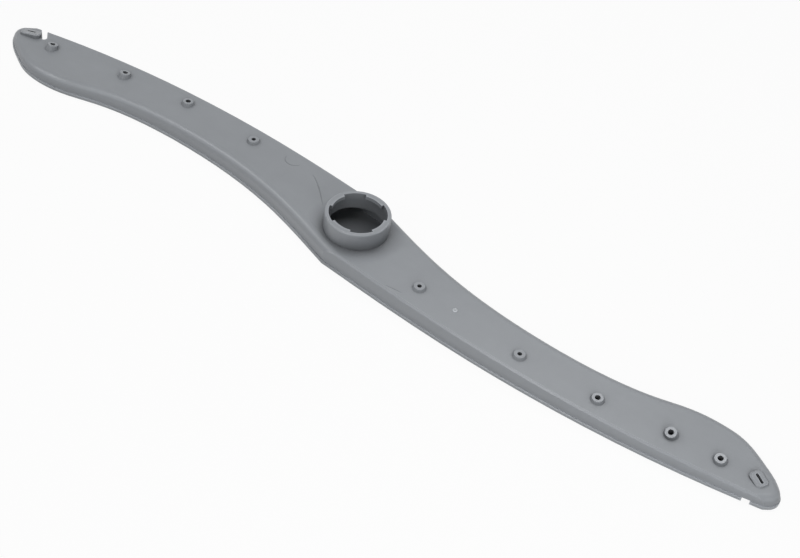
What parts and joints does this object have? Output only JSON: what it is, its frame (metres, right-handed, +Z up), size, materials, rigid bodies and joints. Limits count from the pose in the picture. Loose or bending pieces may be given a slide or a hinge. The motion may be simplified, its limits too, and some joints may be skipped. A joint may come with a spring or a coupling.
{
  "type": "dishwasher spray arm",
  "caption": "Swept hollow spray arm of moulded plastic that spins on a bayonet collar and throws water from raised round jets and slit jets at its tips.",
  "frame": {"origin": "on the collar's axis, at the flat underside", "axes": "+X from the slotted tip to the other tip, +Z up through the collar, on the side of the jets"},
  "size_m": [0.5, 0.0518, 0.0221],
  "materials": {
    "upper_plastic": "satin moulded grey polypropylene",
    "lower_plastic": "satin moulded grey polypropylene"
  },
  "bodies": {
    "root": {"upper_shell": "upper_plastic", "lower_shell": "lower_plastic"}
  },
  "joints": []
}
